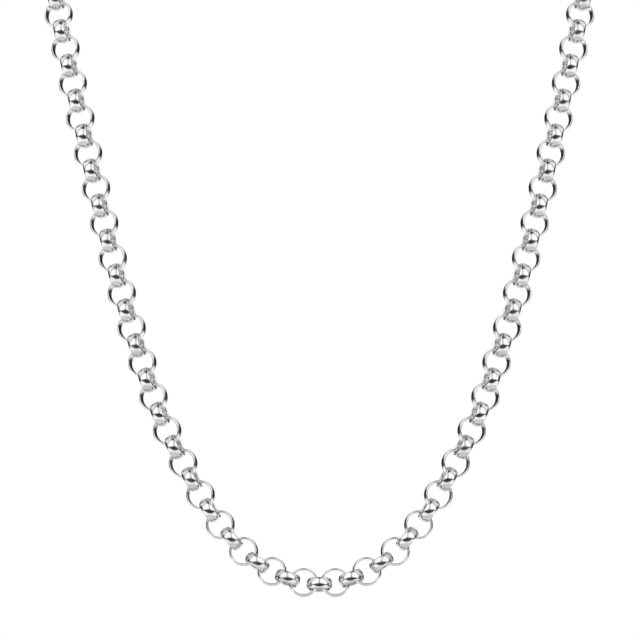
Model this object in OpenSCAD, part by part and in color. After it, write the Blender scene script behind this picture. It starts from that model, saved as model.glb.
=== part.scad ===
// Rolo chain necklace in polished silver. Round links, bent from a half-round band, hang in each
// other with every second one turned a quarter. The loop is worn: it dips in front and runs round
// the neck to a plain clasp. Its origin is where the clasp lies on the nape, with +Z up and the
// front of the wearer towards -Y.

/* [Links] */
// Outer diameter of the links that lie with their face out
face_link_od = 5.0; // [4.8:0.1:5.6]
// Outer diameter of the links between them, which stand on edge
edge_link_od = 4.4; // [4.2:0.1:5]
// Width of the band, along the axis of its link
band_w = 1.75; // [1.5:0.05:1.8]
// Thickness of the band at its two edges
band_edge_t = 0.22; // [0.15:0.01:0.25]
// Height of the dome on the outside of the band, above its edges
dome_h = 0.24; // [0.15:0.01:0.3]
// Radius of the dome's round crown
crown_r = 1.9; // [1.8:0.05:2.2]
// Height above the band's edges at which the dome's two straight shoulders would meet
shoulder_h = 0.37; // [0.34:0.01:0.4]

/* [Chain] */
// Length of the whole necklace, round its middle line and with the clasp
necklace_len = 450; // [430:5:480]
// Play along the chain between two taut links, which leaves room where the chain bends
link_play = 0.15; // [0.14:0.01:0.18]
// Length that the links at the lowest point of each side give up where they lie slack
front_slack = 2.0; // [0:0.1:2.4]
// How many links it takes for that slackness to fade
slack_reach = 4; // [2:0.5:6]
// Number of links on each side that hang taut, before the chain bends round the neck
taut_links = 36; // [30:1:38]
// Length that each link past those gives up to the bend
bend_slack = 0.11; // [0.1:0.01:0.15]

/* [Clasp] */
// Diameter of the round bar that the hook of the clasp is bent from
clasp_bar_d = 1.6; // [1.4:0.1:1.7]
// Width of the hook over its two sides
clasp_w = 6.2; // [5.6:0.1:7]
// Length of the hook's straight sides
clasp_side_len = 7.0; // [4:0.1:8]
// Wire of the eye at the clasp's other end
eye_wire_d = 1.1; // [0.9:0.1:1.2]
// Opening of that eye
eye_hole_d = 2.4; // [2.3:0.1:2.6]

/* [Jump rings] */
// Wire of the two jump rings
ring_wire_d = 0.9; // [0.7:0.1:1]
// Opening of the two jump rings
ring_hole_d = 3.4; // [3.3:0.1:3.6]
// Space between a jump ring and the part of the clasp that hangs in it
ring_gap = 0.3; // [0.25:0.01:0.35]

/* [Hidden] */

// Sides that stand in for a full circle: round a link, round a bar or wire, and round a ring
link_sides = 48;
bar_sides = 32;
turn_sides = 48;
// Pieces that each stretch of the route between two rows is measured in
route_steps = 10;

// The right half of the route, from the lowest link to the nape. Each row gives the millimetres to
// the side, back and up from the lowest link, then the way that the outer face of the chain looks:
// the degrees that it is turned from straight ahead, and the degrees that it looks up
ROUTE = [
    [0, 0, 0, 0, 12],
    [6, 0.3, 1.2, 4, 12],
    [11.8, 1, 4.5, 7, 11],
    [17, 2, 10, 11, 10],
    [23.2, 4, 20, 16, 10],
    [28, 6, 30, 18, 10],
    [31.4, 8, 40, 17, 10],
    [34.4, 10, 50, 16, 10],
    [37, 12, 60, 15, 10],
    [39.4, 14, 70, 15, 10],
    [41.7, 16, 80, 15, 10],
    [43.9, 18, 90, 15, 11],
    [46, 20.4, 100, 16, 14],
    [47.8, 24.6, 109.8, 19, 25],
    [49.2, 30.8, 118.2, 24, 38],
    [49.9, 38.8, 124.9, 35, 50],
    [49.6, 48, 130, 50, 58],
    [47, 57.4, 133.8, 68, 61],
    [42.2, 66.2, 136.2, 90, 60],
    [34.6, 74, 137.7, 112, 58],
    [25, 79.6, 138.5, 134, 55],
    [13, 83, 138.9, 157, 51],
    [0, 84.2, 139, 180, 50]
];

// The route as a smooth curve: each stretch leaves and meets its rows along the parabola through
// the rows beside them, and the rows past both ends are mirrored ones
route_end = len(ROUTE) - 1;
nape = ROUTE[route_end];

function place_of(row) = [row[0], row[1], row[2]];
function mirrored(row, turn_about) = [-row[0], row[1], row[2], 2 * turn_about - row[3], row[4]];
function row_at(i) =
    i < 0 ? mirrored(ROUTE[-i], 0) :
    i > route_end ? mirrored(ROUTE[2 * route_end - i], 180) : ROUTE[i];
function stretch_len(i) = norm(place_of(row_at(i + 1) - row_at(i)));
function slope_after(i) = (row_at(i + 1) - row_at(i)) / stretch_len(i);
function slope_at(i) =
    (stretch_len(i - 1) * slope_after(i) + stretch_len(i) * slope_after(i - 1))
    / (stretch_len(i - 1) + stretch_len(i));
function on_stretch(i, t) =
    (1 + 2 * t) * pow(1 - t, 2) * row_at(i) + t * t * (3 - 2 * t) * row_at(i + 1)
    + stretch_len(i) * (t * pow(1 - t, 2) * slope_at(i) - t * t * (1 - t) * slope_at(i + 1));

samples = [
    for (i = [0 : route_end - 1]) for (k = [0 : route_steps - 1]) on_stretch(i, k / route_steps),
    nape
];
steps = [for (i = [1 : len(samples) - 1]) norm(place_of(samples[i] - samples[i - 1]))];
travelled = [
    for (i = 0, sum = 0; i < len(samples); sum = sum + (i < len(steps) ? steps[i] : 0), i = i + 1)
        sum
];

// The rows keep their shape, and the whole route is scaled to the length of the necklace
half_len = necklace_len / 2;
route_scale = half_len / travelled[len(travelled) - 1];
columns = [
    for (c = [0 : 4]) [for (i = [0 : len(samples) - 1]) [route_scale * travelled[i], samples[i][c]]]
];

function sampled(s) = [for (column = columns) lookup(s, column)];
function row_on(s) =
    s < 0 ? mirrored(sampled(-s), 0) :
    s > half_len ? mirrored(sampled(2 * half_len - s), 180) : sampled(s);
function point_on(s) = route_scale * place_of(row_on(s) - nape);

// Directions at a place on the route: along the chain, out of its face, and across it
function unit(v) = v / norm(v);
function along(s) = unit(point_on(s + band_w) - point_on(s - band_w));
function facing(turn, tilt) = [sin(turn) * cos(tilt), -cos(turn) * cos(tilt), sin(tilt)];
function outward(s) =
    let (row = row_on(s), out = facing(row[3], row[4]), dir = along(s))
    unit(out - (out * dir) * dir);
function across(s) = cross(along(s), outward(s));

// Two links hang in each other until the edges of one band lie in the other link's hole
wall_t = band_edge_t + dome_h;
function reach(od) = sqrt(pow(od / 2 - wall_t, 2) - pow(band_w / 2, 2));
taut_pitch = reach(face_link_od) + reach(edge_link_od) - link_play;

// The jump rings sit deep in the face links at the chain's ends, and hold the clasp likewise
ring_r = (ring_hole_d + ring_wire_d) / 2;
hook_r = (clasp_w - clasp_bar_d) / 2;
eye_r = (eye_hole_d + eye_wire_d) / 2;
link_to_ring = face_link_od / 2 - wall_t
    + sqrt(pow(ring_hole_d / 2 - link_play, 2) - pow(band_w / 2, 2));
ring_to_eye = eye_r + ring_hole_d / 2 - eye_wire_d / 2 - ring_gap;
ring_to_bar = ring_hole_d / 2 - clasp_bar_d / 2 - ring_gap;
eye_to_hook = eye_r + eye_wire_d / 2 + hook_r;
clasp_len = eye_to_hook + clasp_side_len + hook_r;

// Places along the route, counted from the lowest link: the clasp lies with its middle on the nape
fastening_len = 2 * link_to_ring + ring_to_eye + clasp_len + ring_to_bar;
clasp_ring_s = half_len - fastening_len / 2 + link_to_ring;
eye_s = clasp_ring_s + ring_to_eye;
end_ring_s = eye_s + clasp_len + ring_to_bar;

// Both ends of the chain are face links, so each side has an odd number of steps
side_run = half_len - fastening_len / 2 + front_slack - bend_slack * taut_links;
side_steps = 2 * ceil((side_run / (taut_pitch - bend_slack) - 1) / 2) + 1;
pitch = side_run / side_steps + bend_slack;
function link_s(i) =
    let (
        k = abs(i),
        slack = front_slack * (1 - exp(-k / slack_reach)) + bend_slack * max(0, k - taut_links)
    )
    sign(i) * (pitch * k - slack);

// The inner side of the clasp touches the nape at the origin
neck_seat = outward(half_len) * clasp_bar_d / 2;

module set_at(s, x_dir, z_dir) {
    p = point_on(s) + neck_seat;
    y_dir = cross(z_dir, x_dir);
    multmatrix([
        [x_dir[0], y_dir[0], z_dir[0], p[0]],
        [x_dir[1], y_dir[1], z_dir[1], p[1]],
        [x_dir[2], y_dir[2], z_dir[2], p[2]]
    ])
        children();
}

// The band's section: flat inside, two flat edges, and a dome of two shoulders and a round crown
module band_section(od) {
    half_w = band_w / 2;
    edge_r = od / 2 - dome_h;
    intersection() {
        translate([od / 2 - crown_r, 0])
            circle(r = crown_r, $fn = 2 * link_sides);
        polygon([
            [edge_r - band_edge_t, -half_w],
            [edge_r, -half_w],
            [edge_r + shoulder_h, 0],
            [edge_r, half_w],
            [edge_r - band_edge_t, half_w]
        ]);
    }
}

module band_link(od) {
    rotate_extrude($fn = link_sides)
        band_section(od);
}

module wire_ring(middle_r, wire_d) {
    rotate_extrude($fn = turn_sides)
        translate([middle_r, 0])
            circle(d = wire_d, $fn = bar_sides);
}

module chain() {
    color("silver")
        for (i = [-side_steps : side_steps]) {
            s = link_s(i);
            if (i % 2 == 0)
                set_at(s, along(s), across(s)) band_link(edge_link_od);
            else
                set_at(s, along(s), outward(s)) band_link(face_link_od);
        }
}

module jump_ring(s) {
    color("gainsboro")
        set_at(s, along(s), across(s))
            wire_ring(ring_r, ring_wire_d);
}

module clasp_ring() {
    jump_ring(clasp_ring_s);
}

module end_ring() {
    jump_ring(end_ring_s);
}

// One plain piece: an eye, and a closed hook with two straight sides and two round ends
module clasp() {
    middle_s = eye_s + clasp_len / 2;
    color("lightgray")
        set_at(middle_s, along(middle_s), outward(middle_s))
            translate([-clasp_len / 2, 0, 0]) {
                wire_ring(eye_r, eye_wire_d);
                translate([eye_to_hook, 0, 0])
                    hook();
            }
}

module hook() {
    for (side = [-1, 1])
        translate([0, side * hook_r, 0])
            rotate([0, 90, 0])
                cylinder(d = clasp_bar_d, h = clasp_side_len, $fn = bar_sides);
    for (end = [0, 1])
        translate([end * clasp_side_len, 0, 0])
            rotate([0, 0, 90 - 180 * end])
                rotate_extrude(angle = 180, $fn = turn_sides)
                    translate([hook_r, 0])
                        circle(d = clasp_bar_d, $fn = bar_sides);
}

chain();
clasp_ring();
clasp();
end_ring();
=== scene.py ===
# %% [markdown]
# A worn necklace of rolo chain in polished silver.
# The solids of the necklace come packed as a fixed frame: one node with all the links, a clasp and
# two jump rings. This lesson reads where each link hangs, models the two sizes of link as a
# silversmith bends them from half-round band, hangs a copy in each place, and gives the metal its
# polish. Then it sets up a pale studio, and a camera that looks as the photograph does.

# %% Load the frame
import math

import bpy
import numpy as np
from mathutils import Matrix, Vector


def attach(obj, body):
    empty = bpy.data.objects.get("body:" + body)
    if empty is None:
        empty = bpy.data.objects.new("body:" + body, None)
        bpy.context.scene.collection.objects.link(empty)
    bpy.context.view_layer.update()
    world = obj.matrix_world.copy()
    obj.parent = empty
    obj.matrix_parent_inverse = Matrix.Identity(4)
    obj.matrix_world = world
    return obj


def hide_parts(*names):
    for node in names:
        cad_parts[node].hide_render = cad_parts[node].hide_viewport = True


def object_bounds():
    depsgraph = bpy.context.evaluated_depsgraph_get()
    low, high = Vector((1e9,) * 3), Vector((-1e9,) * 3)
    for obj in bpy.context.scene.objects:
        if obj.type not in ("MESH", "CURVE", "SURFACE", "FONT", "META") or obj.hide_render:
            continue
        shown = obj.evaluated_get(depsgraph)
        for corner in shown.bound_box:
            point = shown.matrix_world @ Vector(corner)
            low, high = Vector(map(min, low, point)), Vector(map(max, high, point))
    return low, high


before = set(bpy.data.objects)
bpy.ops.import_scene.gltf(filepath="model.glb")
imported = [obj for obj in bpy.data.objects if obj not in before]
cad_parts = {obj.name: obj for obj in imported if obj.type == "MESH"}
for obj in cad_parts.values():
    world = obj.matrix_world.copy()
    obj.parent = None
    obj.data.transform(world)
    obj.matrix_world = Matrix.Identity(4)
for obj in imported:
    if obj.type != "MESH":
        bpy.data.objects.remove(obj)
cad_low, cad_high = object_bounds()
MM = 0.001
print("CAD box in mm:", [round(float(side) / MM, 1) for side in cad_high - cad_low])

# %% [markdown]
# Operators act on everything that is selected, and the load leaves the frame's objects selected.
# So every step below starts by selecting only what it works on. Two small helpers do that.

# %% Helpers for selecting
def select_only(*objects):
    """Makes these the only selected objects, the first of them active."""
    bpy.ops.object.select_all(action="DESELECT")
    for each in objects:
        each.select_set(True)
    bpy.context.view_layer.objects.active = objects[0]


def select_vertices(piece, is_wanted):
    """In edit mode, selects the vertices whose place passes the test and no others."""
    bpy.ops.mesh.select_mode(type="VERT")
    bpy.ops.mesh.select_all(action="DESELECT")
    bpy.ops.object.mode_set(mode="OBJECT")
    for vertex in piece.data.vertices:
        vertex.select = bool(is_wanted(vertex.co))
    bpy.ops.object.mode_set(mode="EDIT")


print("Two helpers are ready")

# %% [markdown]
# The chain node holds 139 loose rings, and a finer link is to hang in the place of each. The route
# of the chain could be worked out again, but the rings already show where every link hangs. A
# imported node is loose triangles, so a copy of it is merged first, and then split into its parts.

# %% Split the chain into its rings
MERGE_WITHIN = 0.0005 * MM


def split_copy(node_name):
    """A merged copy of a node, split into its loose parts."""
    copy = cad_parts[node_name].copy()
    copy.data = copy.data.copy()
    bpy.context.collection.objects.link(copy)
    copy.parent = None
    select_only(copy)
    bpy.ops.object.mode_set(mode="EDIT")
    bpy.ops.mesh.select_all(action="SELECT")
    bpy.ops.mesh.remove_doubles(threshold=MERGE_WITHIN)
    bpy.ops.mesh.separate(type="LOOSE")
    bpy.ops.object.mode_set(mode="OBJECT")
    return list(bpy.context.selected_objects)


loose_rings = split_copy("chain")
print(len(loose_rings), "loose rings")

# %% [markdown]
# Each ring is then measured from its own points. They spread equally in the two directions of the
# ring's plane, so the direction whose spread is the odd one out is near its axis. The flat rim on
# one side then gives the axis exactly, and both rims the centre.

# %% Measure each ring
RIM_DEPTH = 0.2 * MM


def points_of(piece):
    """The piece's vertices as rows of x, y and z."""
    places = np.empty(3 * len(piece.data.vertices))
    piece.data.vertices.foreach_get("co", places)
    return places.reshape(-1, 3)


def measure_ring(ring):
    """The centre, axis and outer radius of a ring, from its own points."""
    places = points_of(ring)
    spread, directions = np.linalg.eigh(np.cov(places.T))
    odd_one_out = 0 if spread[1] - spread[0] > spread[2] - spread[1] else 2
    height = places @ directions[:, odd_one_out]
    top = places[height > height.max() - RIM_DEPTH]
    bottom = places[height < height.min() + RIM_DEPTH]
    rims = np.concatenate([top, bottom])
    centre = (rims.min(axis=0) + rims.max(axis=0)) / 2
    axis = np.linalg.svd(top - top.mean(axis=0))[2][2]
    radius = np.linalg.norm(np.cross(places - centre, axis), axis=1).max()
    return centre, axis, radius


measured = [measure_ring(ring) for ring in loose_rings]
centres, axes, radii = (np.array(column) for column in zip(*measured))
select_only(*loose_rings)
bpy.ops.object.delete()
print("Outer radii in mm:", sorted({round(float(radius) / MM, 2) for radius in radii}))

# %% [markdown]
# A round link could be turned any way about its own axis. So that the copies all lie alike, each
# has its X axis along the chain. Its two nearest links lie before and behind it, and the line
# between them gives that direction. At the chain's ends the two nearest both lie on one side,
# which still gives it.

# %% Turn each place into a matrix
def place_matrix(index):
    """A matrix with Z on the link's axis, X along the chain, and the link's centre."""
    nearest = np.argsort(np.linalg.norm(centres - centres[index], axis=1))[1:3]
    along = Vector(centres[nearest[0]] - centres[nearest[1]])
    z_dir = Vector(axes[index]).normalized()
    x_dir = (along - along.dot(z_dir) * z_dir).normalized()
    turn = Matrix((x_dir, z_dir.cross(x_dir), z_dir)).transposed()
    return Matrix.Translation(Vector(centres[index])) @ turn.to_4x4()


size_limit = (radii.min() + radii.max()) / 2
face_places = [place_matrix(i) for i, radius in enumerate(radii) if radius > size_limit]
edge_places = [place_matrix(i) for i, radius in enumerate(radii) if radius <= size_limit]
print(len(face_places), "face links and", len(edge_places), "edge links")

# %% [markdown]
# Rolo chain is bent from half-round band: domed outside, nearly flat inside, with two narrow edges
# that the polishing wheel has softened. Its section could be drawn point by point. Here it is cut
# as a file would cut it: a round disc with the dome's radius is sliced off flat at the inside and
# at both edges, its corners are bevelled, and its flat inside swells a little, in two steps.

# %% Cut the band's section
BAND_WIDTH = 1.75 * MM
BAND_WALL = 0.46 * MM
DOME_HEIGHT = 0.24 * MM
DISC_POINTS = 52
SOFT_EDGE = 0.1 * MM
SOFT_EDGE_CUTS = 4
INNER_SWELL = 0.03 * MM
INNER_CUTS = 3
# Shares of the band's half width, and of the swell that the inside takes within them
SWELL_STEPS = ((0.75, 0.4), (0.3, 0.6))
NEAR = 0.01 * MM


def slice_off(point, normal):
    """Cuts the mesh in edit mode at a plane and drops what lies on the normal's side."""
    bpy.ops.mesh.select_all(action="SELECT")
    bpy.ops.mesh.bisect(plane_co=point, plane_no=normal, clear_outer=True, use_fill=False)


def band_section(diameter):
    """The outline of the band, in edit mode, where it lies on a link of this diameter."""
    half = BAND_WIDTH / 2
    dome_radius = (half**2 + DOME_HEIGHT**2) / (2 * DOME_HEIGHT)
    inner = diameter / 2 - BAND_WALL
    bpy.ops.object.select_all(action="DESELECT")
    bpy.ops.mesh.primitive_circle_add(
        vertices=DISC_POINTS, radius=dome_radius, fill_type="NGON",
        location=(diameter / 2 - dome_radius, 0, 0), rotation=(math.pi / 2, 0, 0),
    )
    section = bpy.context.object
    bpy.ops.object.transform_apply(location=True, rotation=True, scale=True)
    bpy.ops.object.mode_set(mode="EDIT")
    slice_off((inner, 0, 0), (-1, 0, 0))
    slice_off((0, 0, half), (0, 0, 1))
    slice_off((0, 0, -half), (0, 0, -1))
    bpy.ops.mesh.select_all(action="SELECT")
    bpy.ops.mesh.delete(type="ONLY_FACE")
    select_vertices(section, lambda co: abs(abs(co.z) - half) < NEAR)
    bpy.ops.mesh.bevel(offset=SOFT_EDGE, segments=SOFT_EDGE_CUTS, affect="VERTICES")
    select_vertices(section, lambda co: co.x < inner + NEAR)
    bpy.ops.mesh.subdivide(number_cuts=INNER_CUTS)
    for reach, share in SWELL_STEPS:
        select_vertices(section, lambda co: co.x < inner + NEAR and abs(co.z) < reach * half)
        bpy.ops.transform.translate(value=(-share * INNER_SWELL, 0, 0))
    return section


print("Band:", round(BAND_WIDTH / MM, 2), "mm wide,", round(BAND_WALL / MM, 2), "mm thick")

# %% [markdown]
# A silversmith winds the band round a rod, saws the coil into rings and solders each shut. A spin
# does the same in one step: it carries the section once round the link's axis. The last row of the
# spin lies on the first, so the two are merged, and then the faces are made to point outwards.

# %% Bend the two links
FACE_LINK_DIAMETER = 5.0 * MM
EDGE_LINK_DIAMETER = 4.4 * MM
ROUND_STEPS = 48
CLOSE_WITHIN = 0.001 * MM


def band_link(name, diameter):
    """One link of half-round band, with its axis on Z and its middle at the origin."""
    link = band_section(diameter)
    link.name = name
    bpy.ops.mesh.select_all(action="SELECT")
    bpy.ops.mesh.spin(steps=ROUND_STEPS, angle=2 * math.pi, center=(0, 0, 0), axis=(0, 0, 1))
    bpy.ops.mesh.select_all(action="SELECT")
    bpy.ops.mesh.remove_doubles(threshold=CLOSE_WITHIN)
    bpy.ops.mesh.normals_make_consistent(inside=False)
    bpy.ops.object.mode_set(mode="OBJECT")
    bpy.ops.object.shade_smooth()
    return link


face_link = band_link("face_link", FACE_LINK_DIAMETER)
edge_link = band_link("edge_link", EDGE_LINK_DIAMETER)
for link in (face_link, edge_link):
    print(link.name, len(link.data.polygons), "faces")

# %% [markdown]
# A chain is one link hung many times. Each copy gets its own mesh, is set in its place, and has
# that place written into its mesh, so that the finished chain sits at the origin unturned. The
# links of one size are then joined into one piece.

# %% Hang the links
def hang(link, places, name):
    """Copies a link into each place and joins the copies into one piece."""
    copies = []
    for place in places:
        copy = link.copy()
        copy.data = link.data.copy()
        copy.matrix_world = place
        bpy.context.collection.objects.link(copy)
        copies.append(copy)
    select_only(*copies)
    bpy.ops.object.transform_apply(location=True, rotation=True, scale=True)
    bpy.ops.object.join()
    piece = bpy.context.object
    piece.name = name
    select_only(link)
    bpy.ops.object.delete()
    return piece


face_links = hang(face_link, face_places, "face_links")
edge_links = hang(edge_link, edge_places, "edge_links")
for piece in (face_links, edge_links):
    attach(piece, "root")
    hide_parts("chain")
    print(piece.name, len(piece.data.polygons), "faces")

# %% [markdown]
# Colours are picked as sRGB hex values, as on a screen, and the shaders work in linear light, so
# one function turns one into the other. Another adds a node with its settings and its links.

# %% Helpers for materials
def linear(hex_colour):
    """A linear RGBA colour from an sRGB hex value."""
    channels = [int(hex_colour[i:i + 2], 16) / 255 for i in (1, 3, 5)]
    return [c / 12.92 if c <= 0.04045 else ((c + 0.055) / 1.055) ** 2.4 for c in channels] + [1]


def add_node(tree, kind, settings=(), inputs=(), links=()):
    """Adds a node, sets its properties and sockets, and links sockets of it to others' outputs."""
    node = tree.nodes.new(kind)
    for key, value in dict(settings).items():
        setattr(node, key, value)
    for key, value in dict(inputs).items():
        node.inputs[key].default_value = value
    for key, source in dict(links).items():
        tree.links.new(source, node.inputs[key])
    return node


CLEAR_SILVER = linear("#FAFAF9")
BLOOMED_SILVER = linear("#F0F0EF")
print("Silver in linear light:", [round(c, 3) for c in CLEAR_SILVER])

# %% [markdown]
# Polished sterling silver is the whitest of metals. It comes off the felt wheel mirror bright, with
# hairlines a few hundredths of a millimetre apart and a faint bloom where the air has touched it.
# The hairlines are too fine to show at this distance, so they are drawn ten times as coarse, as a
# very shallow bump, and the bloom as a slow change of colour and roughness.

# %% Polished sterling silver
BLOOM_SIZE = 3.5 * MM
HAIRLINE_SPACING = 0.35 * MM
CLEAR_ROUGHNESS = 0.119
BLOOMED_ROUGHNESS = 0.255


def polished_silver(name, hairline_depth):
    """A mirror-bright silver with fine hairlines and a faint bloom."""
    material = bpy.data.materials.new(name)
    material.use_nodes = True
    tree = material.node_tree
    tree.nodes.clear()
    place = add_node(tree, "ShaderNodeTexCoord")
    bloom = add_node(tree, "ShaderNodeTexNoise", inputs={"Scale": 1 / BLOOM_SIZE, "Detail": 3},
                     links={"Vector": place.outputs["Object"]})
    hairlines = add_node(tree, "ShaderNodeTexNoise",
                         inputs={"Scale": 1 / HAIRLINE_SPACING, "Detail": 2, "Roughness": 0.6},
                         links={"Vector": place.outputs["Object"]})
    colour = add_node(tree, "ShaderNodeValToRGB", links={"Fac": bloom.outputs["Fac"]})
    colour.color_ramp.elements[0].position = 0.35
    colour.color_ramp.elements[0].color = BLOOMED_SILVER
    colour.color_ramp.elements[1].position = 0.6
    colour.color_ramp.elements[1].color = CLEAR_SILVER
    gloss = add_node(tree, "ShaderNodeMapRange",
                     inputs={"From Min": 0.3, "From Max": 0.7,
                             "To Min": BLOOMED_ROUGHNESS, "To Max": CLEAR_ROUGHNESS},
                     links={"Value": bloom.outputs["Fac"]})
    bump = add_node(tree, "ShaderNodeBump", inputs={"Strength": 1, "Distance": hairline_depth},
                    links={"Height": hairlines.outputs["Fac"]})
    metal = add_node(tree, "ShaderNodeBsdfPrincipled", inputs={"Metallic": 1},
                     links={"Base Color": colour.outputs["Color"],
                            "Roughness": gloss.outputs["Result"], "Normal": bump.outputs["Normal"]})
    add_node(tree, "ShaderNodeOutputMaterial", links={"Surface": metal.outputs["BSDF"]})
    return material


chain_silver = polished_silver("polished sterling silver band", hairline_depth=0.0005 * MM)
wire_silver = polished_silver("polished sterling silver wire", hairline_depth=0.0008 * MM)
for piece in (face_links, edge_links):
    piece.data.materials.clear()
    piece.data.materials.append(chain_silver)
for name in ("clasp_ring", "clasp", "end_ring"):
    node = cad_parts[name]
    for slot in node.material_slots:
        slot.material = wire_silver
print(chain_silver.name, "and", wire_silver.name)

# %% [markdown]
# Silver shows its surroundings, so the studio is as much a part of its look as the metal. Silver is
# photographed in a tent of white cloth, and here the world is that tent: its brightness is worked
# out from the direction of the light. X is to the side, Y to the back and Z up, each from -1 to 1.
# One helper adds a math node, and the other reads a number off a short list of stops, with straight
# lines between them.

# %% Helpers for the light tent
def calculate(tree, operation, first, second=0.0):
    """A math node on two values, each of them a number or another node's output."""
    node = add_node(tree, "ShaderNodeMath", settings={"operation": operation})
    for socket, value in zip(node.inputs, (first, second)):
        if isinstance(value, float):
            socket.default_value = value
        else:
            tree.links.new(value, socket)
    return node.outputs["Value"]


def by_stops(tree, value, stops):
    """A number for a value from -1 to 1, read off (value, number) stops."""
    share = calculate(tree, "MULTIPLY", calculate(tree, "ADD", value, 1.0), 0.5)
    ramp = add_node(tree, "ShaderNodeValToRGB", links={"Fac": share})
    while len(ramp.color_ramp.elements) < len(stops):
        ramp.color_ramp.elements.new(0.5)
    for element, (position, number) in zip(ramp.color_ramp.elements, stops):
        element.position = (position + 1) / 2
        element.color = (number, number, number, 1)
    return ramp.outputs["Color"]


world = bpy.data.worlds.new("light tent")
bpy.context.scene.world = world
world.use_nodes = True
sky = world.node_tree
sky.nodes.clear()
direction = add_node(sky, "ShaderNodeTexCoord")
parts = add_node(sky, "ShaderNodeSeparateXYZ", links={"Vector": direction.outputs["Generated"]})
print("World:", world.name)

# %% [markdown]
# The tent is white above and pale below. Round it, at the height of the camera, runs a dark gap,
# which gives each link its black accents. The gap is widest in front, closes to a slit beside the
# front, opens again and rises a little at the sides, and is narrow straight behind, so that the
# links' ends and insides stay light.

# %% The gap of the light tent
GAP_SIZE_BY_Y = [(-1, 1), (-0.94, 0.7), (-0.75, 0.33), (-0.5, 0.12), (-0.3, 0.16), (-0.1, 0.6),
                 (0.9, 0.6), (0.97, 0.15)]
GAP_LIFT_BY_Y = [(-0.25, 0), (0.1, 0.2)]
# From the pale cloth below, over the dark of the gap, to the white cloth above
BRIGHTNESS_BY_HEIGHT = [(-0.97, 0.78), (-0.6, 0.02), (0.17, 0.02), (0.5, 1)]

gap_size = by_stops(sky, parts.outputs["Y"], GAP_SIZE_BY_Y)
gap_lift = by_stops(sky, parts.outputs["Y"], GAP_LIFT_BY_Y)
over_gap = calculate(sky, "SUBTRACT", parts.outputs["Z"], gap_lift)
cloth_and_gap = by_stops(sky, calculate(sky, "DIVIDE", over_gap, gap_size), BRIGHTNESS_BY_HEIGHT)
print("The gap follows", len(GAP_SIZE_BY_Y), "stops")

# %% [markdown]
# The white above has grey seams, which part the highlights on each link. One runs over the middle
# from front to back, and one comes down a little in front of each side. Past the sides the cloth is
# less bright, which draws each link's outline, and the top, where the tent is tied, is dark.

# %% The seams of the light tent
MIDDLE_SEAM_BY_X = [(0.05, 0.35), (0.22, 1)]
SIDE_SEAMS_BY_Y = [(-0.38, 1), (-0.28, 0.4), (-0.16, 0.4), (0, 0.7)]
TIED_TOP_BY_Z = [(0.9, 1), (0.97, 0.15)]
SEAMS_BEGIN, SEAMS_FULL = 0.0, 0.2

aside = calculate(sky, "ABSOLUTE", parts.outputs["X"])
middle_seam = by_stops(sky, aside, MIDDLE_SEAM_BY_X)
side_seams = by_stops(sky, parts.outputs["Y"], SIDE_SEAMS_BY_Y)
tied_top = by_stops(sky, parts.outputs["Z"], TIED_TOP_BY_Z)
above = calculate(sky, "MULTIPLY", calculate(sky, "MULTIPLY", middle_seam, side_seams), tied_top)
is_above = add_node(sky, "ShaderNodeMapRange",
                    inputs={"From Min": SEAMS_BEGIN, "From Max": SEAMS_FULL},
                    links={"Value": parts.outputs["Z"]})
tent = add_node(sky, "ShaderNodeMix", settings={"data_type": "RGBA", "blend_type": "MULTIPLY"},
                links={"Factor": is_above.outputs["Result"], "A": cloth_and_gap, "B": above})
print("The tent is drawn with", len(sky.nodes), "nodes")

# %% [markdown]
# The metal and the floor are lit by the tent, while the camera sees plain white behind the
# necklace, as in the photograph. The Light Path node tells the two apart.

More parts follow.
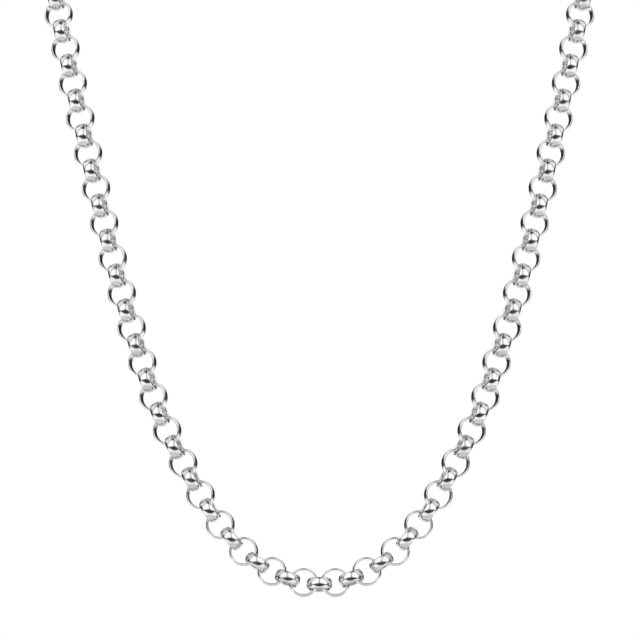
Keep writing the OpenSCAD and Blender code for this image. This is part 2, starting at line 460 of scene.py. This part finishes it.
# %% Backdrop
TENT_STRENGTH = 1.25
seen = add_node(sky, "ShaderNodeLightPath")
backdrop = add_node(sky, "ShaderNodeBackground", inputs={"Color": (1, 1, 1, 1), "Strength": 1})
studio = add_node(sky, "ShaderNodeBackground", inputs={"Strength": TENT_STRENGTH},
                  links={"Color": tent.outputs["Result"]})
mix = add_node(sky, "ShaderNodeMixShader",
               links={"Fac": seen.outputs["Is Camera Ray"], 1: studio.outputs["Background"],
                      2: backdrop.outputs["Background"]})
add_node(sky, "ShaderNodeOutputWorld", links={"Surface": mix.outputs["Shader"]})
bpy.context.scene.view_settings.view_transform = "Standard"
print("Tent strength:", TENT_STRENGTH)

# %% [markdown]
# The floor is a round pale matt board well below the necklace, which hangs as it is worn.

# %% Floor
FLOOR_RADIUS = 0.35
FLOOR_DROP = 0.25
FLOOR_MIDDLE_Y = -0.05
FLOOR_POINTS = 96

bpy.ops.object.select_all(action="DESELECT")
bpy.ops.mesh.primitive_circle_add(vertices=FLOOR_POINTS, radius=FLOOR_RADIUS, fill_type="NGON",
                                  location=(0, FLOOR_MIDDLE_Y, cad_low[2] - FLOOR_DROP))
floor = bpy.context.object
floor.name = "floor"
board = bpy.data.materials.new("pale matt board")
board.use_nodes = True
board_sockets = board.node_tree.nodes["Principled BSDF"].inputs
board_sockets["Base Color"].default_value = linear("#F4F4F2")
board_sockets["Roughness"].default_value = 0.9
floor.data.materials.append(board)
print("Floor:", round(2 * FLOOR_RADIUS, 2), "m across")

# %% [markdown]
# The photograph is taken level, from far enough away that the strands hardly converge, so the
# camera has a long lens and stands a little over a metre in front of the lowest link. Its frame is
# 109 mm wide there, and it stands as high as the middle of the photograph.

# %% Camera
# What a pixel of the photograph measures at the lowest link
PIXEL = 0.1705 * MM
PICTURE_WIDTH = 640 * PIXEL
SENSOR_WIDTH = 36
DISTANCE = 1.185
LOWEST_LINK_BEHIND_FRONT = 2.2 * MM
CAMERA_ABOVE_LOWEST = 47.3 * MM
CAMERA_ASIDE = 0.1 * MM

lens = bpy.data.cameras.new("long lens")
lens.sensor_width = SENSOR_WIDTH
lens.lens = SENSOR_WIDTH * DISTANCE / PICTURE_WIDTH
camera = bpy.data.objects.new("camera", lens)
lowest_link_y = cad_low[1] + LOWEST_LINK_BEHIND_FRONT
camera.location = (CAMERA_ASIDE, lowest_link_y - DISTANCE, cad_low[2] + CAMERA_ABOVE_LOWEST)
camera.rotation_euler = (math.pi / 2, 0, 0)
bpy.context.collection.objects.link(camera)
bpy.context.scene.camera = camera
print("Lens", round(lens.lens, 1), "mm at", [round(c / MM, 1) for c in camera.location])
